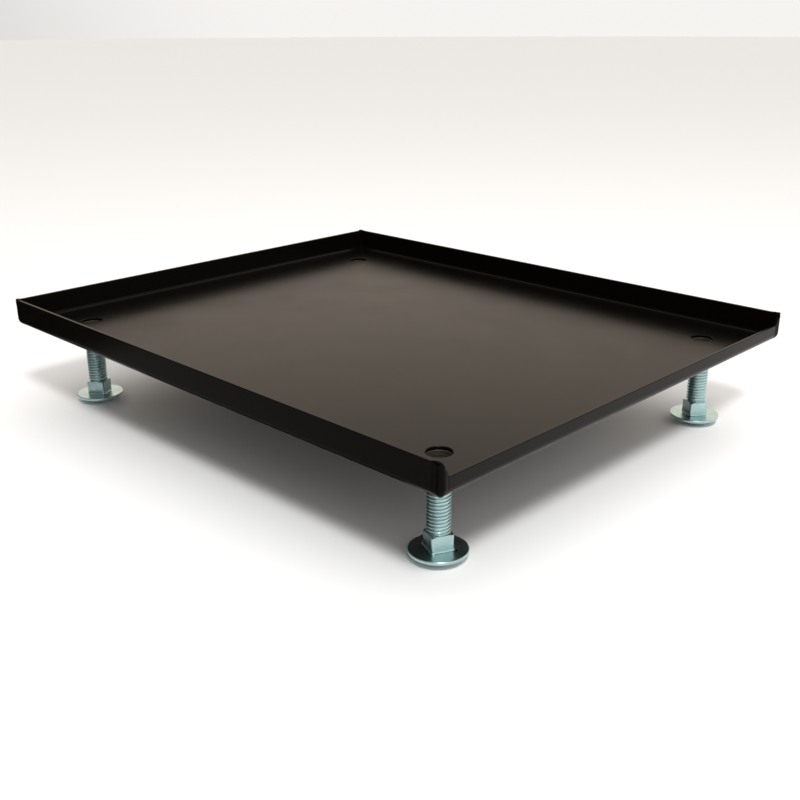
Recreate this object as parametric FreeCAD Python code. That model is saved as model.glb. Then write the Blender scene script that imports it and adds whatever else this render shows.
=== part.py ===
import FreeCAD, Part
import math
import os

from FreeCAD import Vector

# A small levelling tray riser: a folded sheet tray with welded corners stands on four
# carriage bolts, screwed head down through nuts that are tack welded under the tray.
# Millimetres. X runs along the low front lip, Y to the back, Z up. The origin is under the
# middle of the tray, on the plane that the four domed feet stand on.

# ---- Tray: driving dimensions ----
tray_width = 254.0          # X, outside of side lip to outside of side lip
tray_depth = 305.0          # Y, outside of front lip to outside of back lip
lip_height = 13.8           # side and back lips, from the tray's underside
front_lip_height = 8.0      # front lip, from the tray's underside
sheet = 1.5                 # sheet thickness
bend_inside_radius = 2.0
corner_round = 1.2          # upright outside corners, over the weld metal
corner_inside_round = 0.8
edge_round = 0.3            # coated sheet edges
seam_reach = 4.3            # each corner weld, along both lips from the outside
seam_shoulder = 1.0         # flat left on the side lip's top at a front corner weld
foot_inset_x = 28.5         # bolt axis in from the side lip's outside
foot_inset_y = 26.6         # bolt axis in from the front or back lip's outside

# ---- Foot bolt: driving dimensions (M10 carriage bolt) ----
thread_major = 9.85
thread_pitch = 1.5
head_diameter = 24.3
head_height = 4.6
head_rim = 1.3              # straight edge of the head, above its dome
rim_round = 0.4
neck_flats = 9.5
neck_height = 7.0
neck_corner_round = 0.8
neck_base_fillet = 0.7
neck_shoulder = 0.6         # height over which the neck's four corners are bevelled
bolt_length = 35.0          # under the head
foot_drop = 39.0            # tray's underside down to the head's flat face

# Turn of each square neck about its own axis, degrees: each foot stops where it is level.
neck_turn = {
    "front_left": -24.0,
    "front_right": -34.0,
    "back_left": 34.0,
    "back_right": 15.0,
}

# ---- Nut, tack welds and fits: driving dimensions ----
nut_flats = 17.0
nut_height = 8.0
nut_bevel_angle = 30.0
nut_bore_clearance = 0.05   # on the radius, over the thread's crests
nut_mouth_bevel = 0.5
hole_clearance = 0.375      # floor hole, on the radius, over the thread's crests
tack_leg = 2.2
tack_length = 6.0           # straight part of one tack, between its round ends
tacks_per_nut = 3

# ---- Worked out from them ----
bend_outside_radius = bend_inside_radius + sheet
underside = head_height + foot_drop
floor_top = underside + sheet
lip_top = underside + lip_height
front_lip_top = underside + front_lip_height
half_width = tray_width / 2
half_depth = tray_depth / 2
thread_radius = thread_major / 2
root_radius = thread_radius - 0.6134 * thread_pitch
neck_top = head_height + neck_height
bolt_tip = head_height + bolt_length
nut_bottom = underside - nut_height
spare = 1.0                 # how far cutting tools run past what they cut

sides = {"left": -1, "right": 1}
ends = {"front": -1, "back": 1}
up = Vector(0, 0, 1)


def block(low, high):
    """A box between two opposite corners."""
    size = Vector(*high) - Vector(*low)
    return Part.makeBox(size.x, size.y, size.z, Vector(*low))


def edges_on_level(shape, level):
    """The edges that lie in the horizontal plane at this height."""
    return [e for e in shape.Edges if all(abs(v.Z - level) < 1e-6 for v in e.Vertexes)]


def upright_edges(shape):
    """The straight vertical edges."""
    return [e for e in shape.Edges if e.BoundBox.ZLength > 1e-6
            and e.BoundBox.XLength < 1e-6 and e.BoundBox.YLength < 1e-6]


def rounded_tub(inset, bottom, top, bend, corner):
    """A box set in from the tray's outside: bent bottom edges that meet in a mitre at each
    corner, and round upright corners."""
    low = Vector(inset - half_width, inset - half_depth, bottom)
    high = Vector(half_width - inset, half_depth - inset, top)
    box = block(low, high)
    floor_edges = edges_on_level(box, bottom)
    along_x = [e for e in floor_edges if e.BoundBox.XLength > e.BoundBox.YLength]
    along_y = [e for e in floor_edges if e.BoundBox.YLength > e.BoundBox.XLength]
    front_and_back = box.makeFillet(bend, along_x)
    both_sides = box.makeFillet(bend, along_y)
    uprights = box.makeFillet(corner, upright_edges(box))
    return front_and_back.common(both_sides).common(uprights)


def closed_tray():
    """The tray's sheet, all four lips at full height and all corners closed."""
    outside = rounded_tub(0.0, underside, lip_top, bend_outside_radius, corner_round)
    inside = rounded_tub(sheet, floor_top, lip_top + spare, bend_inside_radius,
                         corner_inside_round)
    tray = outside.cut(inside)
    return tray.makeFillet(edge_round, edges_on_level(tray, lip_top))


def corner_block(side, end):
    """The corner of the tray that its weld fills, over the whole lip height."""
    x_inner = side * (half_width - seam_reach)
    y_inner = end * (half_depth - seam_reach)
    x_outer = side * (half_width + spare)
    y_outer = end * (half_depth + spare)
    low = (min(x_inner, x_outer), min(y_inner, y_outer), underside - spare)
    high = (max(x_inner, x_outer), max(y_inner, y_outer), lip_top + spare)
    return block(low, high)


def flat_floor():
    """The flat of the floor, up to the bend lines."""
    x = half_width - bend_outside_radius
    y = half_depth - bend_outside_radius
    return block((-x, -y, underside - spare), (x, y, floor_top))


def front_slope_cutter(side):
    """What is cut away where a front weld slopes from the side lip to the front lip."""
    toe = half_width - seam_reach
    outline = [
        (toe - spare, front_lip_top),
        (toe, front_lip_top),
        (half_width - seam_shoulder, lip_top),
        (half_width - seam_shoulder, lip_top + spare),
        (toe - spare, lip_top + spare),
    ]
    front = -half_depth - spare
    points = [Vector(side * x, front, z) for x, z in outline]
    face = Part.Face(Part.makePolygon(points + points[:1]))
    return face.extrude(Vector(0, seam_reach + 2 * spare, 0))


def corner_weld(tray, side, end):
    """One corner's weld metal: both lips' ends, the bends and the upright seam."""
    weld = tray.common(corner_block(side, end)).cut(flat_floor())
    if end == ends["front"]:
        weld = weld.cut(front_slope_cutter(side))
    return weld


def foot_axis(side, end):
    """Where a foot's axis meets the ground plane."""
    return Vector(side * (half_width - foot_inset_x), end * (half_depth - foot_inset_y), 0)


def floor_hole(side, end):
    """The round clearance hole over one foot, with its coated edges rounded."""
    radius = thread_radius + hole_clearance
    middle = foot_axis(side, end) + Vector(0, 0, underside - spare)
    drill = Part.makeCylinder(radius, sheet + 2 * spare, middle)
    for level, direction in ((floor_top, -1), (underside, 1)):
        rim = foot_axis(side, end) + Vector(0, 0, level)
        drill = drill.fuse(Part.makeCone(radius + edge_round, radius, edge_round,
                                         rim, Vector(0, 0, direction)))
    return drill


def tray_pan(tray):
    """The folded sheet without its welds: floor, side, back and low front lips."""
    pan = tray
    for side in sides.values():
        for end in ends.values():
            pan = pan.cut(corner_block(side, end).cut(flat_floor()))
            pan = pan.cut(floor_hole(side, end))
    inner = half_width - seam_reach
    pan = pan.cut(block((-inner, -half_depth - spare, front_lip_top),
                        (inner, sheet + spare - half_depth, lip_top + spare)))
    long_edges = [e for e in edges_on_level(pan, front_lip_top) if e.Length > tray_width / 2]
    return pan.makeFillet(edge_round, long_edges)


def turned(outline):
    """A solid of revolution about Z, from (radius, height) corners that start and end on Z."""
    points = [Vector(r, 0, z) for r, z in outline]
    face = Part.Face(Part.makePolygon(points + points[:1]))
    return face.revolve(Vector(0, 0, 0), up, 360)


def weld_nut():
    """A hexagon nut, bevelled on its free face and bored to clear the thread's crests."""
    corner_radius = nut_flats / math.sqrt(3)
    angles = [math.radians(60 * k) for k in range(6)]
    points = [Vector(corner_radius * math.cos(a), corner_radius * math.sin(a), nut_bottom)
              for a in angles]
    hexagon = Part.Face(Part.makePolygon(points + points[:1])).extrude(up * nut_height)
    face_radius = 0.95 * nut_flats / 2
    reach = corner_radius + spare
    rise = (reach - face_radius) * math.tan(math.radians(nut_bevel_angle))
    bevel = turned([(0, nut_bottom), (face_radius, nut_bottom), (reach, nut_bottom + rise),
                    (reach, underside), (0, underside)])
    bore = thread_radius + nut_bore_clearance
    mouth = bore + nut_mouth_bevel
    hole = turned([(0, nut_bottom - spare), (mouth, nut_bottom - spare), (mouth, nut_bottom),
                   (bore, nut_bottom + nut_mouth_bevel), (bore, underside + spare),
                   (0, underside + spare)])
    return hexagon.common(bevel).cut(hole)


def nut_tack():
    """One fillet tack between the nut's flat that faces +Y and the tray's underside."""
    flat = nut_flats / 2
    start = Vector(-tack_length / 2, flat, underside)
    end = Vector(tack_length / 2, flat, underside)
    bead = Part.makeCylinder(tack_leg, tack_length, start, Vector(1, 0, 0))
    bead = bead.fuse([Part.makeSphere(tack_leg, start), Part.makeSphere(tack_leg, end)])
    reach = tack_length / 2 + tack_leg + spare
    corner = block((-reach, flat, underside - tack_leg - spare),
                   (reach, flat + tack_leg + spare, underside))
    return bead.common(corner).removeSplitter()


def nut_tacks():
    """The tacks of one nut, on every second flat."""
    tacks = []
    for k in range(tacks_per_nut):
        tack = nut_tack()
        tack.rotate(Vector(0, 0, 0), up, k * 360 / tacks_per_nut)
        tacks.append(tack)
    return Part.makeCompound(tacks)


def bolt_head():
    """The thin round head: a low dome below, a short straight rim and a flat face above."""
    radius = head_diameter / 2
    rise = head_height - head_rim
    dome_radius = (radius ** 2 + rise ** 2) / (2 * rise)
    half_angle = math.asin(radius / dome_radius) / 2
    crown = Vector(0, 0, 0)
    middle = Vector(dome_radius * math.sin(half_angle), 0,
                    dome_radius * (1 - math.cos(half_angle)))
    rim_low = Vector(radius, 0, rise)
    rim_high = Vector(radius, 0, head_height - rim_round)
    rim_middle = Vector(radius - rim_round * (1 - math.sqrt(0.5)), 0,
                        head_height - rim_round * (1 - math.sqrt(0.5)))
    face_edge = Vector(radius - rim_round, 0, head_height)
    centre = Vector(0, 0, head_height)
    outline = Part.Wire([
        Part.Arc(crown, middle, rim_low).toShape(),
        Part.LineSegment(rim_low, rim_high).toShape(),
        Part.Arc(rim_high, rim_middle, face_edge).toShape(),
        Part.LineSegment(face_edge, centre).toShape(),
        Part.LineSegment(centre, crown).toShape(),
    ])
    return Part.Face(outline).revolve(Vector(0, 0, 0), up, 360)


def bolt_neck():
    """The square neck, its corners rounded and bevelled down from the shank."""
    half = neck_flats / 2
    neck = block((-half, -half, head_height - spare), (half, half, neck_top))
    neck = neck.makeFillet(neck_corner_round, upright_edges(neck))
    diagonal = half * math.sqrt(2)
    bevel = turned([(0, 0), (diagonal, 0), (diagonal, neck_top - neck_shoulder),
                    (thread_radius, neck_top), (0, neck_top)])
    return neck.common(bevel)


def bolt_thread():
    """The shank: crests and roots as rings one pitch apart, and a bevelled tip."""
    pitch = thread_pitch
    tip_bevel = thread_radius - root_radius
    turns = int((bolt_tip - tip_bevel - neck_top) / pitch)
    outline = [(0, head_height), (root_radius, head_height)]
    for k in range(turns):
        start = neck_top + k * pitch
        outline.append((root_radius, start + pitch / 4))
        outline.append((thread_radius, start + pitch * 9 / 16))
        outline.append((thread_radius, start + pitch * 11 / 16))
        outline.append((root_radius, start + pitch))
    outline.append((root_radius, bolt_tip))
    outline.append((0, bolt_tip))
    return turned(outline)


def foot_bolt():
    """One whole carriage bolt, standing on its head's crown."""
    base = bolt_head().fuse(bolt_neck())
    half = neck_flats / 2
    around_neck = [e for e in edges_on_level(base, head_height)
                   if e.BoundBox.Center.Length < half + head_height
                   and max(abs(v.X) for v in e.Vertexes) <= half + 1e-6]
    base = base.makeFillet(neck_base_fillet, around_neck)
    return base.fuse(bolt_thread())


def put_at(shape, side, end, turn=0.0):
    """A copy of a shape made on the Z axis, turned and moved to one foot's axis."""
    placed = shape.copy()
    placed.rotate(Vector(0, 0, 0), up, turn)
    placed.translate(foot_axis(side, end))
    return placed


def export(shape, node):
    """Write one node, after making sure that each of its solids is sound."""
    if not shape.isValid() or not shape.Solids:
        raise ValueError("unsound shape: " + node)
    shape.exportStep("parts/" + node + ".step")
    print(node, len(shape.Solids), round(shape.Volume, 2))


os.makedirs("parts", exist_ok=True)
tray = closed_tray()
export(tray_pan(tray), "tray_pan")
nut = weld_nut()
tacks = nut_tacks()
bolt = foot_bolt()
for end_name, end in ends.items():
    for side_name, side in sides.items():
        corner = end_name + "_" + side_name
        export(corner_weld(tray, side, end), "corner_weld_" + corner)
        export(put_at(nut, side, end), "weld_nut_" + corner)
        export(put_at(tacks, side, end), "nut_tacks_" + corner)
        export(put_at(bolt, side, end, neck_turn[corner]), "foot_bolt_" + corner)
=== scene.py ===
import math

import bmesh
import bpy
from bpy.props import FloatProperty, FloatVectorProperty, IntProperty, PointerProperty
from mathutils import Matrix, Quaternion, Vector, noise


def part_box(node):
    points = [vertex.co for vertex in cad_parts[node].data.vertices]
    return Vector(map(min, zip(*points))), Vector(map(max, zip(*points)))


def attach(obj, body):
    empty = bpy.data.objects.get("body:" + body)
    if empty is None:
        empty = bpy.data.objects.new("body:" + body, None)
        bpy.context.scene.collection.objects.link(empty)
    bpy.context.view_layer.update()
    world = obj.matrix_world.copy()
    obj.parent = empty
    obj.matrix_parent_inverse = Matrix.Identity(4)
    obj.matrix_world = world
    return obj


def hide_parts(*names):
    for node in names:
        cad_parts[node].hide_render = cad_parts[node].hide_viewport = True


bl_info = {
    "name": "Levelling Tray Riser",
    "version": (1, 0, 0),
    "blender": (4, 5, 0),
    "location": "View3D > Sidebar > Tray Riser",
    "description": "Models and finishes a coated sheet tray that stands on four carriage bolts",
    "category": "Object",
}

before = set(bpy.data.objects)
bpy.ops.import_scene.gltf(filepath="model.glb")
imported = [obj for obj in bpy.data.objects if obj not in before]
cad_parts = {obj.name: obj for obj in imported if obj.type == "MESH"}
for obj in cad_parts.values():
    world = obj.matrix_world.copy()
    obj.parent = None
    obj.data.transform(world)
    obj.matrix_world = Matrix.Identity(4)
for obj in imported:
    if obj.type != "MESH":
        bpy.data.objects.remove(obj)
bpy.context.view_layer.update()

CORNERS = ("front_left", "front_right", "back_left", "back_right")
MM = 0.001
MERGE = 0.001 * MM

TRAY_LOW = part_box("tray_pan")[0]
BOLT_LOW, BOLT_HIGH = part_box("foot_bolt_front_left")
NUT_LOW, NUT_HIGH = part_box("weld_nut_front_left")

# Each square neck stops at its own angle, as its foot was levelled.
NECK_TURN = {
    "front_left": math.radians(-24.0),
    "front_right": math.radians(-34.0),
    "back_left": math.radians(34.0),
    "back_right": math.radians(15.0),
}

# How far each weld's metal stands above the lips where it ends, how far it has melted round
# (smoothing passes), and how much more metal it has. The front left one was laid on thickest.
WELD_CROWN = {
    "front_left": 0.40 * MM,
    "front_right": 0.05 * MM,
    "back_left": 0.02 * MM,
    "back_right": 0.02 * MM,
}
WELD_MELT = {"front_left": 80, "front_right": 12, "back_left": 6, "back_right": 6}
WELD_EXTRA = {"front_left": 0.2 * MM, "front_right": 0.0, "back_left": 0.0, "back_right": 0.0}

# Grey cards that lie on the floor and show only in reflections, as painted shade: they darken what
# the tray and the feet reflect under the tray and to its left and back left. Two corners and how
# grey.
SHADE_CARDS = {
    "left_flag": ((-1.8, -0.14), (-0.13, 0.2), 0.25),
    "back_left_flag": ((-1.8, 0.2), (-0.13, 1.8), 0.02),
    "under_flag": ((-0.13, -0.10), (0.085, 0.10), 0.02),
    "back_under_flag": ((-0.13, 0.15), (0.085, 0.28), 0.02),
}
SHADE_CARD_HEIGHT = 0.5 * MM


# ---------------------------------------------------------------- settings

class CoatFinish(bpy.types.PropertyGroup):
    """The tray's powder coat."""
    colour: FloatVectorProperty(name="Coat colour", description="Colour of the powder itself",
                                subtype="COLOR", size=3, min=0.0, max=1.0,
                                default=(0.0016, 0.0013, 0.0009))
    roughness: FloatProperty(name="Coat roughness", description="How satin the coat is",
                             min=0.0, max=1.0, default=0.24, subtype="FACTOR")
    weld_roughness: FloatProperty(name="Weld roughness", description="The same over the welds",
                                  min=0.0, max=1.0, default=0.13, subtype="FACTOR")
    grain: FloatProperty(name="Grain size", description="Distance between the coat's ripples",
                         default=0.45 * MM, min=0.05 * MM, unit="LENGTH", subtype="DISTANCE")
    grain_height: FloatProperty(name="Grain height", description="Depth of the coat's ripples",
                                default=0.006 * MM, min=0.0, unit="LENGTH", subtype="DISTANCE")


class ZincFinish(bpy.types.PropertyGroup):
    """The feet's zinc plate."""
    colour: FloatVectorProperty(name="Zinc colour", description="Colour of the plated steel",
                                subtype="COLOR", size=3, min=0.0, max=1.0,
                                default=(0.48, 0.645, 0.65))
    roughness: FloatProperty(name="Zinc roughness", description="How bright the plate is",
                             min=0.0, max=1.0, default=0.30, subtype="FACTOR")


class BoltSizes(bpy.types.PropertyGroup):
    """The carriage bolt that is each foot."""
    head_height: FloatProperty(name="Head height", description="Crown to flat face",
                               default=4.6 * MM, unit="LENGTH", subtype="DISTANCE")
    head_rim: FloatProperty(name="Rim height", description="Straight edge of the head",
                            default=1.3 * MM, unit="LENGTH", subtype="DISTANCE")
    rim_round: FloatProperty(name="Rim rounding", description="Radius at the rim's edges",
                             default=0.4 * MM, unit="LENGTH", subtype="DISTANCE")
    neck_flats: FloatProperty(name="Neck width", description="Across the square neck's flats",
                              default=9.5 * MM, unit="LENGTH", subtype="DISTANCE")
    neck_height: FloatProperty(name="Neck height", description="Head's flat face to shoulder",
                               default=7.0 * MM, unit="LENGTH", subtype="DISTANCE")
    neck_corner: FloatProperty(name="Neck corner", description="Radius of the upright corners",
                               default=0.8 * MM, unit="LENGTH", subtype="DISTANCE")
    neck_fillet: FloatProperty(name="Neck fillet", description="Radius where neck meets head",
                               default=0.7 * MM, unit="LENGTH", subtype="DISTANCE")
    neck_shoulder: FloatProperty(name="Neck shoulder", description="Height of the bevelled top",
                                 default=0.6 * MM, unit="LENGTH", subtype="DISTANCE")
    thread_major: FloatProperty(name="Thread diameter", description="Over the crests",
                                default=9.85 * MM, unit="LENGTH", subtype="DISTANCE")
    thread_pitch: FloatProperty(name="Thread pitch", description="Rise in one turn",
                                default=1.5 * MM, unit="LENGTH", subtype="DISTANCE")
    steps: IntProperty(name="Steps", description="Steps in one turn of the thread",
                       default=56, min=16, max=128)


class WeldShape(bpy.types.PropertyGroup):
    """The weld metal at the corners and round the nuts."""
    cell: FloatProperty(name="Cell", description="Size of the weld meshes' faces",
                        default=0.17 * MM, min=0.05 * MM, unit="LENGTH", subtype="DISTANCE")
    swell: FloatProperty(name="Swell", description="How far weld metal stands over the sheet",
                         default=0.22 * MM, unit="LENGTH", subtype="DISTANCE")
    ripple: FloatProperty(name="Ripple", description="Height of the weld's ripples",
                          default=0.05 * MM, unit="LENGTH", subtype="DISTANCE")
    ripple_pitch: FloatProperty(name="Ripple pitch", description="From ripple to ripple",
                                default=2.1 * MM, unit="LENGTH", subtype="DISTANCE")
    overlap: FloatProperty(name="Overlap", description="How far a weld runs on over each lip",
                           default=0.3 * MM, unit="LENGTH", subtype="DISTANCE")


class StageSettings(bpy.types.PropertyGroup):
    """Floor, lights and camera."""
    floor_colour: FloatVectorProperty(name="Floor colour", description="Colour of the floor",
                                      subtype="COLOR", size=3, min=0.0, max=1.0,
                                      default=(0.86, 0.86, 0.855))
    surround: FloatProperty(name="Surround", description="Brightness of the surround",
                            default=1.0, min=0.0)
    bright_side: FloatVectorProperty(name="Bright side", description="Where the surround is bright",
                                     size=3, default=(0.78, -0.50, 0.34), subtype="DIRECTION")
    bright_colour: FloatVectorProperty(name="Bright colour", description="Colour there",
                                       subtype="COLOR", size=3, min=0.0, max=4.0,
                                       default=(0.92, 0.90, 0.88))
    warm_tint: FloatVectorProperty(name="Warm tint", description="Tint of its warm patch",
                                   subtype="COLOR", size=3, min=0.0, max=2.0,
                                   default=(1.22, 1.06, 0.90))
    dim_colour: FloatVectorProperty(name="Dim colour", description="Colour at the other side",
                                    subtype="COLOR", size=3, min=0.0, max=4.0,
                                    default=(0.035, 0.035, 0.035))
    wide_power: FloatProperty(name="Wide light", description="Strength of the light from above",
                              default=0.55, min=0.0)
    front_power: FloatProperty(name="Front light", description="Power of the small soft light",
                               default=13.5, min=0.0, unit="POWER")
    lens: FloatProperty(name="Lens", description="Focal length in millimetres",
                        default=45.66, min=10.0)


# ---------------------------------------------------------------- materials

def node_of(tree, kind, **values):
    """A new shader node with its settings and unlinked sockets filled in."""
    made = tree.nodes.new(kind)
    for name, value in values.items():
        if hasattr(made, name):
            setattr(made, name, value)
        else:
            made.inputs[name.replace("_", " ")].default_value = value
    return made


def speckle(tree, place, scale, detail, roughness=0.5):
    """A noise pattern on the given coordinates, as a factor."""
    made = node_of(tree, "ShaderNodeTexNoise", Scale=scale, Detail=detail, Roughness=roughness)
    tree.links.new(place, made.inputs["Vector"])
    return made.outputs["Fac"]


def spread(tree, source, low, high, to_low=0.0, to_high=1.0):
    """Maps a factor's stretch from low to high onto another stretch."""
    made = node_of(tree, "ShaderNodeMapRange", From_Min=low, From_Max=high,
                   To_Min=to_low, To_Max=to_high)
    tree.links.new(source, made.inputs["Value"])
    return made.outputs["Result"]


def two_tone(tree, source, low, low_colour, high, high_colour):
    """A ramp that turns one colour into another between two values of a factor."""
    made = tree.nodes.new("ShaderNodeValToRGB")
    first, last = made.color_ramp.elements
    first.position = low
    first.color = (*low_colour, 1.0)
    last.position = high
    last.color = (*high_colour, 1.0)
    tree.links.new(source, made.inputs["Fac"])
    return made


def toward(tree, place, side):
    """How far a direction leans to one side, from -1 to 1."""
    made = node_of(tree, "ShaderNodeVectorMath", operation="DOT_PRODUCT")
    made.inputs[1].default_value = side
    tree.links.new(place, made.inputs[0])
    return made.outputs["Value"]


def bumped(tree, shader, source, strength, distance):
    """Gives a shader's surface the relief of a factor."""
    bump = node_of(tree, "ShaderNodeBump", Strength=strength, Distance=distance)
    tree.links.new(source, bump.inputs["Height"])
    tree.links.new(bump.outputs["Normal"], shader.inputs["Normal"])


def powder_coat(coat, name="satin_powder_coat", roughness=None, sheen_level=0.09, paleness=1.0):
    """Satin black powder coat: a fine orange peel with a slightly uneven sheen."""
    if name in bpy.data.materials:
        return bpy.data.materials[name]
    colour = paleness * Vector(coat.colour)
    speck_colour = 2.4 * colour
    roughness = coat.roughness if roughness is None else roughness
    uneven = 0.025
    material = bpy.data.materials.new(name)
    material.use_nodes = True
    tree = material.node_tree
    shader = tree.nodes["Principled BSDF"]
    shader.inputs["IOR"].default_value = 1.5
    shader.inputs["Specular IOR Level"].default_value = sheen_level
    place = tree.nodes.new("ShaderNodeTexCoord").outputs["Object"]

    clouds = speckle(tree, place, 38.0, 3.0, 0.55)
    sheen = spread(tree, clouds, 0.3, 0.7, roughness - uneven, roughness + uneven)
    tree.links.new(sheen, shader.inputs["Roughness"])

    specks = speckle(tree, place, 2400.0, 1.0)
    tint = two_tone(tree, specks, 0.42, colour, 0.78, speck_colour)
    tree.links.new(tint.outputs["Color"], shader.inputs["Base Color"])

    peel = speckle(tree, place, 1.0 / coat.grain, 2.0)
    bumped(tree, shader, peel, 0.8, coat.grain_height)
    return material


def weld_coat(coat):
    """The same coat where it has flowed thick and glossy over weld metal."""
    return powder_coat(coat, "glossy_weld_coat", coat.weld_roughness, sheen_level=0.035)


def zinc_plate(zinc):
    """Bright zinc plate: faintly blue, with cloudy patches and fine pits."""
    name = "bright_zinc_plate"
    if name in bpy.data.materials:
        return bpy.data.materials[name]
    cloud_colour = 0.88 * Vector(zinc.colour)
    uneven = 0.04
    material = bpy.data.materials.new(name)
    material.use_nodes = True
    tree = material.node_tree
    shader = tree.nodes["Principled BSDF"]
    shader.inputs["Metallic"].default_value = 1.0
    place = tree.nodes.new("ShaderNodeTexCoord").outputs["Object"]

    clouds = speckle(tree, place, 170.0, 3.0, 0.55)
    tint = two_tone(tree, clouds, 0.33, cloud_colour, 0.62, zinc.colour)
    tree.links.new(tint.outputs["Color"], shader.inputs["Base Color"])
    dull = spread(tree, clouds, 0.3, 0.7, zinc.roughness + uneven, zinc.roughness - uneven)
    tree.links.new(dull, shader.inputs["Roughness"])

    pits = speckle(tree, place, 1300.0, 2.0)
    bumped(tree, shader, pits, 0.25, 0.01 * MM)
    return material


def plain_floor(stage):
    """A plain pale studio floor."""
    material = bpy.data.materials.new("pale_studio_floor")
    material.use_nodes = True
    shader = material.node_tree.nodes["Principled BSDF"]
    shader.inputs["Base Color"].default_value = (*stage.floor_colour, 1.0)
    shader.inputs["Roughness"].default_value = 0.9
    shader.inputs["Specular IOR Level"].default_value = 0.1
    return material


# ---------------------------------------------------------------- mesh helpers

def finish_piece(name, bm, material, body, nodes, sharp=math.radians(38)):
    """Turns a bmesh into a finished piece that stands for CAD nodes and rides on a body."""
    bmesh.ops.remove_doubles(bm, verts=bm.verts, dist=MERGE)
    bmesh.ops.recalc_face_normals(bm, faces=bm.faces)
    for face in bm.faces:
        face.smooth = True
    for edge in bm.edges:
        edge.smooth = len(edge.link_faces) == 2 and edge.calc_face_angle(math.pi) < sharp
    mesh = bpy.data.meshes.new(name)
    bm.to_mesh(mesh)
    bm.free()
    mesh.materials.append(material)
    piece = bpy.data.objects.new(name, mesh)
    bpy.context.scene.collection.objects.link(piece)
    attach(piece, body)
    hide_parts(*nodes)
    return piece


def melt(bm, verts, passes):
    """Draws points toward their neighbours, as flowing metal does."""
    for _ in range(passes):
        bmesh.ops.smooth_vert(bm, verts=verts, factor=0.5, use_axis_x=True,
                              use_axis_y=True, use_axis_z=True)


def sweep_rings(bm, rings, count):
    """Extrudes one ring of points through a list of (height, radius for an angle) rings."""
    made = bmesh.ops.create_circle(bm, segments=count, radius=1.0)["verts"]
    edges = list({edge for vert in made for edge in vert.link_edges})
    first = made
    for index, (height, radius_at) in enumerate(rings):
        if index:
            grown = bmesh.ops.extrude_edge_only(bm, edges=edges)["geom"]
            made = [item for item in grown if isinstance(item, bmesh.types.BMVert)]
            edges = [item for item in grown if isinstance(item, bmesh.types.BMEdge)]
        for vert in made:
            angle = math.atan2(vert.co.y, vert.co.x)
            radius = radius_at(angle)
            vert.co = (radius * math.cos(angle), radius * math.sin(angle), height)
    return first, made


def close_pole(bm, ring):
    """Draws one end ring together to a point on the axis."""
    bmesh.ops.pointmerge(bm, verts=ring, merge_co=(0.0, 0.0, ring[0].co.z))


def even(radius):
    """A round section."""
    return lambda angle: radius


def polygon_section(sides, inner, corner, limit=math.inf, start=0.0):
    """A regular polygon's section with rounded corners, no further out than a limit.

    inner is the centre-to-flat distance, and start is the angle of one flat's middle."""
    half = math.pi / sides
    reach = (inner - corner) / math.cos(half)

    def radius_at(angle):
        off = abs((angle - start + half) % (2 * half) - half)
        if inner * math.tan(off) <= (inner - corner) * math.tan(half):
            radius = inner / math.cos(off)
        else:
            turn = half - off
            across = reach * math.sin(turn)
            radius = reach * math.cos(turn) + math.sqrt(max(corner ** 2 - across ** 2, 0.0))
        return min(radius, limit)

    return radius_at


def quarter(count):
    """Cosine and sine pairs round a quarter turn, ends included."""
    angles = [math.pi / 2 * k / count for k in range(count + 1)]
    return [(math.cos(a), math.sin(a)) for a in angles]


def middle_of(node):
    """Where a node's upright axis meets the ground plane."""
    low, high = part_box(node)
    return Vector(((low.x + high.x) / 2, (low.y + high.y) / 2, 0.0))


# ---------------------------------------------------------------- foot bolts

def head_and_neck(bm, bolt):
    """The domed head and the square neck, as one skin from the crown to the shoulder."""
    radius = (BOLT_HIGH.y - BOLT_LOW.y) / 2
    radius = max(radius, (BOLT_HIGH.x - BOLT_LOW.x) / 2)
    rise = bolt.head_height - bolt.head_rim
    dome = (radius ** 2 + rise ** 2) / (2 * rise)
    dome_turn = math.asin(radius / dome)
    rings = []
    dome_steps = 14
    for k in range(dome_steps):
        turn = dome_turn * (k + 0.25) / dome_steps
        rings.append((dome * (1 - math.cos(turn)), even(dome * math.sin(turn))))
    rings.append((rise, even(radius - 0.05 * MM)))
    rings.append((rise + 0.15 * MM, even(radius)))
    for cosine, sine in quarter(5):
        rings.append((bolt.head_height - bolt.rim_round * (1 - sine),
                      even(radius - bolt.rim_round * (1 - cosine))))
    half = bolt.neck_flats / 2
    corner = bolt.neck_corner
    fillet = bolt.neck_fillet
    face_steps = 6
    inner = (half + fillet) * math.sqrt(2)
    for k in range(1, face_steps):
        part = k / face_steps
        face_radius = (radius - bolt.rim_round) * (1 - part) + inner * part
        rings.append((bolt.head_height, even(face_radius)))
    for cosine, sine in quarter(6):
        flare = fillet * (1 - sine)
        rings.append((bolt.head_height + fillet * (1 - cosine),
                      polygon_section(4, half + flare, corner + flare)))
    neck_top = bolt.head_height + bolt.neck_height
    shoulder = neck_top - bolt.neck_shoulder
    crest = bolt.thread_major / 2
    rings.append((shoulder - 0.4 * MM, polygon_section(4, half, corner)))
    shoulder_steps = 8
    widest = half * math.sqrt(2) - (math.sqrt(2) - 1) * corner
    for k in range(shoulder_steps + 1):
        part = k / shoulder_steps
        bow = math.sin(part * math.pi / 2)
        limit = widest + (crest - widest) * (1 - math.cos(part * math.pi / 2))
        rings.append((shoulder + bolt.neck_shoulder * bow,
                      polygon_section(4, half, corner, limit)))
    rings.append((neck_top + 0.05 * MM, even(crest * 0.8)))
    first, last = sweep_rings(bm, rings, 160)
    close_pole(bm, first)
    close_pole(bm, last)


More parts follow.
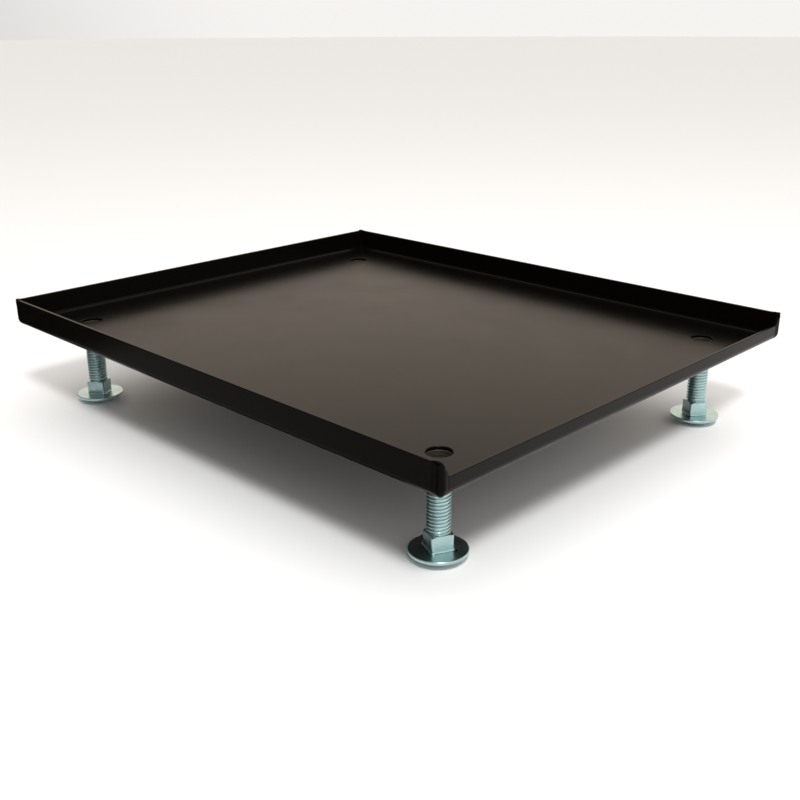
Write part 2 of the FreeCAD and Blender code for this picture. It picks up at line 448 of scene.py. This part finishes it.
def threaded_shank(bm, bolt):
    """The helical thread from inside the neck to the bevelled, slightly dished tip."""
    pitch = bolt.thread_pitch
    crest = bolt.thread_major / 2
    root = crest - 0.42 * pitch
    low = bolt.head_height + bolt.neck_height - 0.6 * MM
    high = BOLT_HIGH.z
    turns = math.ceil((high - low) / pitch) + 2
    outline = ((root, 0.0), (root + 0.01 * MM, 0.06), (root + 0.08 * MM, 0.11),
               (crest - 0.20 * MM, 0.23), (crest - 0.08 * MM, 0.29), (crest - 0.015 * MM, 0.39),
               (crest, 0.50), (crest - 0.015 * MM, 0.61), (crest - 0.08 * MM, 0.71),
               (crest - 0.20 * MM, 0.77), (root + 0.08 * MM, 0.89), (root + 0.01 * MM, 0.94),
               (root, 1.0))
    start = low - 1.5 * pitch
    verts = [bm.verts.new((r, 0.0, start + part * pitch)) for r, part in outline]
    edges = [bm.edges.new(pair) for pair in zip(verts, verts[1:])]
    bmesh.ops.spin(bm, geom=verts + edges, cent=(0, 0, 0), axis=(0, 0, 1),
                   dvec=(0, 0, pitch / bolt.steps), angle=2 * math.pi, steps=bolt.steps,
                   use_merge=False, use_duplicate=False)
    one_turn = bm.verts[:] + bm.edges[:] + bm.faces[:]
    for turn in range(1, turns):
        copied = bmesh.ops.duplicate(bm, geom=one_turn)["geom"]
        moved = [item for item in copied if isinstance(item, bmesh.types.BMVert)]
        bmesh.ops.translate(bm, vec=(0, 0, turn * pitch), verts=moved)
    bmesh.ops.remove_doubles(bm, verts=bm.verts, dist=0.002 * MM)
    for height, cut in ((low, "clear_inner"), (high, "clear_outer")):
        whole = bm.verts[:] + bm.edges[:] + bm.faces[:]
        bmesh.ops.bisect_plane(bm, geom=whole, dist=0.0001 * MM, plane_co=(0, 0, height),
                               plane_no=(0, 0, 1), **{cut: True})
    tip_radius = root - 0.15 * MM
    flat_radius = tip_radius - 0.9 * MM
    dish_radius = tip_radius - 1.6 * MM
    dish_depth = 0.28 * MM
    rim = [edge for edge in bm.edges if edge.is_boundary and edge.verts[0].co.z > high - MERGE]
    for radius, drop in ((flat_radius, 0.0), (dish_radius, dish_depth)):
        made = bmesh.ops.extrude_edge_only(bm, edges=rim)["geom"]
        rim = [item for item in made if isinstance(item, bmesh.types.BMEdge) and item.is_boundary]
        for vert in {vert for edge in rim for vert in edge.verts}:
            vert.co.xy = vert.co.xy.normalized() * radius
            vert.co.z = high - drop
    rims = [edge for edge in bm.edges if edge.is_boundary]
    bmesh.ops.holes_fill(bm, edges=rims, sides=0)
    run_out = bolt.head_height + bolt.neck_height
    for vert in bm.verts:
        radius = Vector(vert.co.xy).length
        limit = tip_radius + (high - vert.co.z)
        if vert.co.z < run_out + pitch:
            limit = root + 0.35 * MM + max(vert.co.z - run_out, 0.0) * (crest - root) / pitch
        if radius > limit:
            vert.co.xy = vert.co.xy * (limit / radius)


def bolt_blank(bolt):
    """The mesh that all four feet are copied from, upright on the ground at the middle."""
    bm = bmesh.new()
    threaded_shank(bm, bolt)
    head_and_neck(bm, bolt)
    blank = bpy.data.meshes.new("bolt_blank")
    bm.to_mesh(blank)
    bm.free()
    return blank


def foot_bolt(corner, blank, material):
    """One whole foot, turned as its neck stands and put on its axis."""
    bm = bmesh.new()
    bm.from_mesh(blank)
    turn = Matrix.Rotation(NECK_TURN[corner], 3, "Z")
    bmesh.ops.rotate(bm, cent=(0, 0, 0), matrix=turn, verts=bm.verts)
    node = "foot_bolt_" + corner
    bmesh.ops.translate(bm, vec=middle_of(node), verts=bm.verts)
    return finish_piece("carriage_bolt_" + corner, bm, material,
                        "foot_" + corner, [node])


# ---------------------------------------------------------------- nuts

def weld_nut(corner, bolt, material):
    """A coated hexagon nut: bevelled free face, rounded edges, bore round the thread."""
    node = "weld_nut_" + corner
    flats = NUT_HIGH.y - NUT_LOW.y
    low, high = NUT_LOW.z, NUT_HIGH.z
    corner_round = 0.5 * MM
    bore = bolt.thread_major / 2 + 0.05 * MM
    groove = bore + 0.3 * MM
    mouth = bore + 0.5 * MM
    face = 0.95 * flats / 2
    point = flats / math.sqrt(3)

    def hexagon(inner, limit=math.inf):
        """The nut's outline, no further out than a limit."""
        return polygon_section(6, inner, corner_round, limit, math.radians(30))

    rings = [(high, even(groove))]
    crest = high - 0.45 * MM
    while crest > low + 1.2 * MM:
        for drop, radius in ((-0.08, bore), (0.08, bore), (0.55, groove), (0.95, groove)):
            rings.append((crest - drop * MM, even(radius)))
        crest -= bolt.thread_pitch
    rings += [(low + 0.5 * MM, even(bore)), (low + 0.1 * MM, even(mouth)),
              (low, even(mouth + 0.12 * MM)), (low, even(face - 0.35 * MM))]
    bevel_steps = 8
    for k in range(bevel_steps + 1):
        out = (point - face) * k / bevel_steps
        height = low + 0.08 * MM + out * math.tan(math.radians(30))
        rings.append((height, hexagon(flats / 2, face + out)))
    rings.append((high - 0.15 * MM, hexagon(flats / 2)))
    rings.append((high, hexagon(flats / 2 - 0.1 * MM)))
    bm = bmesh.new()
    sweep_rings(bm, rings, 144)
    rims = [edge for edge in bm.edges if edge.is_boundary]
    bmesh.ops.bridge_loops(bm, edges=rims)
    bmesh.ops.translate(bm, vec=middle_of(node), verts=bm.verts)
    return finish_piece("coated_nut_" + corner, bm, material, "tray", [node])


# ---------------------------------------------------------------- welds

def grown_mesh(bm, cell):
    """The same shape as an even net of small faces, with its hard edges softened."""
    mesh = bpy.data.meshes.new("weld_blank")
    bm.to_mesh(mesh)
    bm.free()
    blank = bpy.data.objects.new("weld_blank", mesh)
    bpy.context.scene.collection.objects.link(blank)
    remesh = blank.modifiers.new("net", "REMESH")
    remesh.mode = "VOXEL"
    remesh.voxel_size = cell
    depsgraph = bpy.context.evaluated_depsgraph_get()
    netted = bpy.data.meshes.new_from_object(blank.evaluated_get(depsgraph))
    bpy.data.objects.remove(blank)
    grown = bmesh.new()
    grown.from_mesh(netted)
    melt(grown, grown.verts, 3)
    return grown


def node_copy(node):
    """A merged copy of a CAD node's mesh."""
    bm = bmesh.new()
    bm.from_mesh(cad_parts[node].data)
    bmesh.ops.remove_doubles(bm, verts=bm.verts, dist=MERGE)
    return bm


def corner_weld(corner, weld, material):
    """One upright corner seam: a rippled bead that laps over both lips."""
    node = "corner_weld_" + corner
    low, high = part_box(node)
    side = 1 if low.x > 0 else -1
    end = 1 if low.y > 0 else -1
    inner = Vector((low.x if side > 0 else high.x, low.y if end > 0 else high.y, 0.0))
    outer = Vector((high.x if side > 0 else low.x, high.y if end > 0 else low.y, 0.0))
    bm = node_copy(node)
    for vert in bm.verts:
        if abs(vert.co.x - inner.x) < 0.01 * MM:
            vert.co.x -= side * weld.overlap
        if abs(vert.co.y - inner.y) < 0.01 * MM:
            vert.co.y -= end * weld.overlap
    bm = grown_mesh(bm, weld.cell)
    reach = abs(outer.x - inner.x)
    ridge_share = 0.3
    tip_height = 3.5 * MM
    tip_passes = 50
    ridge = []
    tip = []
    for vert in bm.verts:
        depth = side * (vert.co.x - inner.x) * end * (vert.co.y - inner.y) / reach ** 2
        if depth > ridge_share:
            ridge.append(vert)
            if vert.co.z < low.z + tip_height:
                tip.append(vert)
    melt(bm, ridge, WELD_MELT[corner])
    melt(bm, tip, tip_passes)

    skin = 0.012 * MM
    lump_height = 3.2 * MM
    bm.normal_update()
    for vert in bm.verts:
        in_x = side * (vert.co.x - inner.x) / reach
        in_y = end * (vert.co.y - inner.y) / reach
        middle = max(0.0, min(1.0, in_x * in_y * 1.6))
        middle = middle * middle * (3.0 - 2.0 * middle)
        wave = math.sin(2 * math.pi * (vert.co.z + 0.35 * (in_x - in_y) * reach) / weld.ripple_pitch)
        rough = noise.noise(vert.co * 450.0) + 0.4 * noise.noise(vert.co * 1400.0)
        end_lump = max(0.0, 1.0 - (high.z - vert.co.z) / lump_height)
        rough += end_lump * (1.0 + 7.0 * noise.noise(vert.co * 1000.0))
        vert.co.z += WELD_CROWN[corner] * end_lump ** 2
        swell = weld.swell + WELD_EXTRA[corner]
        grow = skin + middle * (swell + weld.ripple * (0.25 * wave + rough))
        vert.co += vert.normal * grow
    return finish_piece("seam_bead_" + corner, bm, material, "tray", [node],
                        math.radians(80))


def nut_tacks(corner, weld, material):
    """The three tack welds that hold one nut, lumpy under their coat."""
    node = "nut_tacks_" + corner
    bm = grown_mesh(node_copy(node), weld.cell * 1.3)
    bm.normal_update()
    for vert in bm.verts:
        rough = noise.noise(vert.co * 700.0) + 0.5 * noise.noise(vert.co * 1900.0)
        if vert.co.z < TRAY_LOW.z - 0.2 * MM:
            vert.co += vert.normal * (weld.swell * 0.6 + weld.ripple * rough)
    return finish_piece("tack_welds_" + corner, bm, material, "tray", [node],
                        math.radians(80))


# ---------------------------------------------------------------- operators

class TRAYRISER_OT_coat_pan(bpy.types.Operator):
    """Gives the folded tray its powder coat"""
    bl_idname = "trayriser.coat_pan"
    bl_label = "Coat the tray"

    def execute(self, context):
        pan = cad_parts["tray_pan"]
        material = powder_coat(context.scene.tray_coat)
        pan.data.materials.clear()
        pan.data.materials.append(material)
        return {"FINISHED"}


class TRAYRISER_OT_corner_welds(bpy.types.Operator):
    """Models the four welded corner seams"""
    bl_idname = "trayriser.corner_welds"
    bl_label = "Weld the corners"

    def execute(self, context):
        material = weld_coat(context.scene.tray_coat)
        for corner in CORNERS:
            corner_weld(corner, context.scene.tray_weld, material)
        return {"FINISHED"}


class TRAYRISER_OT_weld_nuts(bpy.types.Operator):
    """Models the four nuts under the tray and their tack welds"""
    bl_idname = "trayriser.weld_nuts"
    bl_label = "Weld the nuts on"

    def execute(self, context):
        coat = context.scene.tray_coat
        # Painted light: the nuts' coat is fourteen times paler than the tray's, which brightens the
        # threads seen down the floor holes as if lit.
        material = powder_coat(coat, "thin_nut_coat", coat.roughness + 0.2, paleness=14.0)
        glossy = weld_coat(coat)
        for corner in CORNERS:
            weld_nut(corner, context.scene.tray_bolt, material)
            nut_tacks(corner, context.scene.tray_weld, glossy)
        return {"FINISHED"}


class TRAYRISER_OT_foot_bolts(bpy.types.Operator):
    """Models the four carriage bolts with their threads"""
    bl_idname = "trayriser.foot_bolts"
    bl_label = "Screw in the feet"

    def execute(self, context):
        material = zinc_plate(context.scene.tray_zinc)
        blank = bolt_blank(context.scene.tray_bolt)
        for corner in CORNERS:
            foot_bolt(corner, blank, material)
        bpy.data.meshes.remove(blank)
        return {"FINISHED"}


class TRAYRISER_OT_stage(bpy.types.Operator):
    """Sets up the floor, the surround, the soft lights, the shade cards that paint shade into
    reflections, and the camera
    """
    bl_idname = "trayriser.stage"
    bl_label = "Set the stage"

    def execute(self, context):
        stage = context.scene.tray_stage
        context.scene.view_settings.view_transform = "Standard"
        lay_floor(stage)
        pale_surround(stage)
        wide_light(stage)
        front_light(stage)
        for name, (low, high, grey) in SHADE_CARDS.items():
            shade_card(name, low, high, grey)
        set_camera(stage)
        return {"FINISHED"}


def lay_floor(stage):
    """A wide round floor that the feet stand on."""
    bm = bmesh.new()
    bmesh.ops.create_circle(bm, cap_ends=True, segments=96, radius=9.0)
    mesh = bpy.data.meshes.new("studio_floor")
    bm.to_mesh(mesh)
    bm.free()
    mesh.materials.append(plain_floor(stage))
    floor = bpy.data.objects.new("studio_floor", mesh)
    bpy.context.scene.collection.objects.link(floor)


def pale_surround(stage):
    """A soft surround: bright at the front right, dim at the back left, and a little warm in
    one patch low at the back right."""
    world = bpy.data.worlds.new("pale_surround")
    world.use_nodes = True
    tree = world.node_tree
    background = tree.nodes["Background"]
    place = tree.nodes.new("ShaderNodeTexCoord").outputs["Generated"]
    facing = spread(tree, toward(tree, place, stage.bright_side), -1.0, 1.0)
    tint = two_tone(tree, facing, 0.12, stage.dim_colour, 0.56, stage.bright_colour)
    tint.color_ramp.interpolation = "EASE"

    height = tree.nodes.new("ShaderNodeSeparateXYZ")
    tree.links.new(place, height.inputs["Vector"])
    patch = node_of(tree, "ShaderNodeMath", operation="MULTIPLY")
    tree.links.new(spread(tree, height.outputs["Z"], 0.02, 0.14), patch.inputs[0])
    back_right = toward(tree, place, (0.67, 0.67, 0.32))
    tree.links.new(spread(tree, back_right, 0.68, 0.92), patch.inputs[1])
    warmth = two_tone(tree, patch.outputs["Value"], 0.0, (1.0, 1.0, 1.0), 1.0, stage.warm_tint)

    both = node_of(tree, "ShaderNodeVectorMath", operation="MULTIPLY")
    tree.links.new(tint.outputs["Color"], both.inputs[0])
    tree.links.new(warmth.outputs["Color"], both.inputs[1])
    tree.links.new(both.outputs["Vector"], background.inputs["Color"])
    background.inputs["Strength"].default_value = stage.surround
    bpy.context.scene.world = world


def shade_card(name, low, high, grey):
    """A grey card on the floor that only reflections see: painted shade in what the tray and the
    feet reflect.
    """
    bm = bmesh.new()
    bmesh.ops.create_grid(bm, x_segments=1, y_segments=1, size=0.5)
    size = Vector(high) - Vector(low)
    middle = (Vector(high) + Vector(low)) / 2
    bmesh.ops.scale(bm, vec=(size.x, size.y, 1.0), verts=bm.verts)
    bmesh.ops.translate(bm, vec=(middle.x, middle.y, SHADE_CARD_HEIGHT), verts=bm.verts)
    mesh = bpy.data.meshes.new(name)
    bm.to_mesh(mesh)
    bm.free()
    material = bpy.data.materials.new(name)
    material.use_nodes = True
    shader = material.node_tree.nodes["Principled BSDF"]
    shader.inputs["Base Color"].default_value = (grey, grey, grey, 1.0)
    shader.inputs["Specular IOR Level"].default_value = 0.0
    shader.inputs["Roughness"].default_value = 1.0
    mesh.materials.append(material)
    card = bpy.data.objects.new(name, mesh)
    bpy.context.scene.collection.objects.link(card)
    # Painted shade: the card is hidden from the camera, from light and from shadows, and only
    # darkens reflections.
    card.visible_camera = False
    card.visible_diffuse = False
    card.visible_shadow = False
    card.visible_transmission = False


def hang_light(name, data, place, facing):
    """Puts a light at a place, facing along a direction."""
    light = bpy.data.objects.new(name, data)
    light.location = place
    light.rotation_euler = Vector(facing).to_track_quat("-Z", "Y").to_euler()
    bpy.context.scene.collection.objects.link(light)


def wide_light(stage):
    """A wide soft light from above."""
    data = bpy.data.lights.new("wide_light", "SUN")
    data.energy = stage.wide_power
    data.angle = math.radians(80.0)
    data.color = (0.97, 1.0, 1.04)
    hang_light("wide_light", data, (0.0, 0.0, 0.0), (-0.25, -0.15, -1.0))


def front_light(stage):
    """A small square soft light, high in front of the tray's front left corner."""
    place = Vector((-0.55, -0.75, 1.15))
    aim = Vector((0.0, 0.0, 0.03))
    data = bpy.data.lights.new("front_light", "AREA")
    data.energy = stage.front_power
    data.shape = "SQUARE"
    data.size = 0.25
    hang_light("front_light", data, place, aim - place)


def set_camera(stage):
    """The camera, low in front of the tray's front left corner."""
    data = bpy.data.cameras.new("camera")
    data.lens = stage.lens
    data.sensor_width = 36.0
    data.clip_start = 0.01
    camera = bpy.data.objects.new("camera", data)
    turn, lift, roll = math.radians(-45.59), math.radians(20.89), math.radians(-0.243)
    camera.location = (-0.35767, -0.35931, TRAY_LOW.z + 0.15531)
    forward = Vector((-math.sin(turn) * math.cos(lift), math.cos(turn) * math.cos(lift),
                      -math.sin(lift)))
    aim = forward.to_track_quat("-Z", "Y") @ Quaternion((0.0, 0.0, 1.0), roll)
    camera.rotation_euler = aim.to_euler()
    bpy.context.scene.collection.objects.link(camera)
    bpy.context.scene.camera = camera


class TRAYRISER_PT_panel(bpy.types.Panel):
    """Lists the steps that build the riser"""
    bl_idname = "TRAYRISER_PT_panel"
    bl_label = "Tray Riser"
    bl_space_type = "VIEW_3D"
    bl_region_type = "UI"
    bl_category = "Tray Riser"

    def draw(self, context):
        for group in (context.scene.tray_coat, context.scene.tray_zinc, context.scene.tray_bolt,
                      context.scene.tray_weld, context.scene.tray_stage):
            box = self.layout.box()
            for name in group.__annotations__:
                box.prop(group, name)
        for step in STEPS:
            self.layout.operator(step.bl_idname)


STEPS = (TRAYRISER_OT_coat_pan, TRAYRISER_OT_corner_welds, TRAYRISER_OT_weld_nuts,
         TRAYRISER_OT_foot_bolts, TRAYRISER_OT_stage)
GROUPS = {"tray_coat": CoatFinish, "tray_zinc": ZincFinish, "tray_bolt": BoltSizes,
          "tray_weld": WeldShape, "tray_stage": StageSettings}


def register():
    """Registers the settings, the steps and the panel."""
    for group in GROUPS.values():
        bpy.utils.register_class(group)
    for name, group in GROUPS.items():
        setattr(bpy.types.Scene, name, PointerProperty(type=group))
    for step in STEPS:
        bpy.utils.register_class(step)
    bpy.utils.register_class(TRAYRISER_PT_panel)


def unregister():
    """Takes back all that register added."""
    bpy.utils.unregister_class(TRAYRISER_PT_panel)
    for step in reversed(STEPS):
        bpy.utils.unregister_class(step)
    for name in GROUPS:
        delattr(bpy.types.Scene, name)
    for group in GROUPS.values():
        bpy.utils.unregister_class(group)


def main():
    """Builds the whole riser and sets its stage."""
    register()
    bpy.ops.trayriser.coat_pan()
    bpy.ops.trayriser.corner_welds()
    bpy.ops.trayriser.weld_nuts()
    bpy.ops.trayriser.foot_bolts()
    bpy.ops.trayriser.stage()


if __name__ == "__main__":
    main()
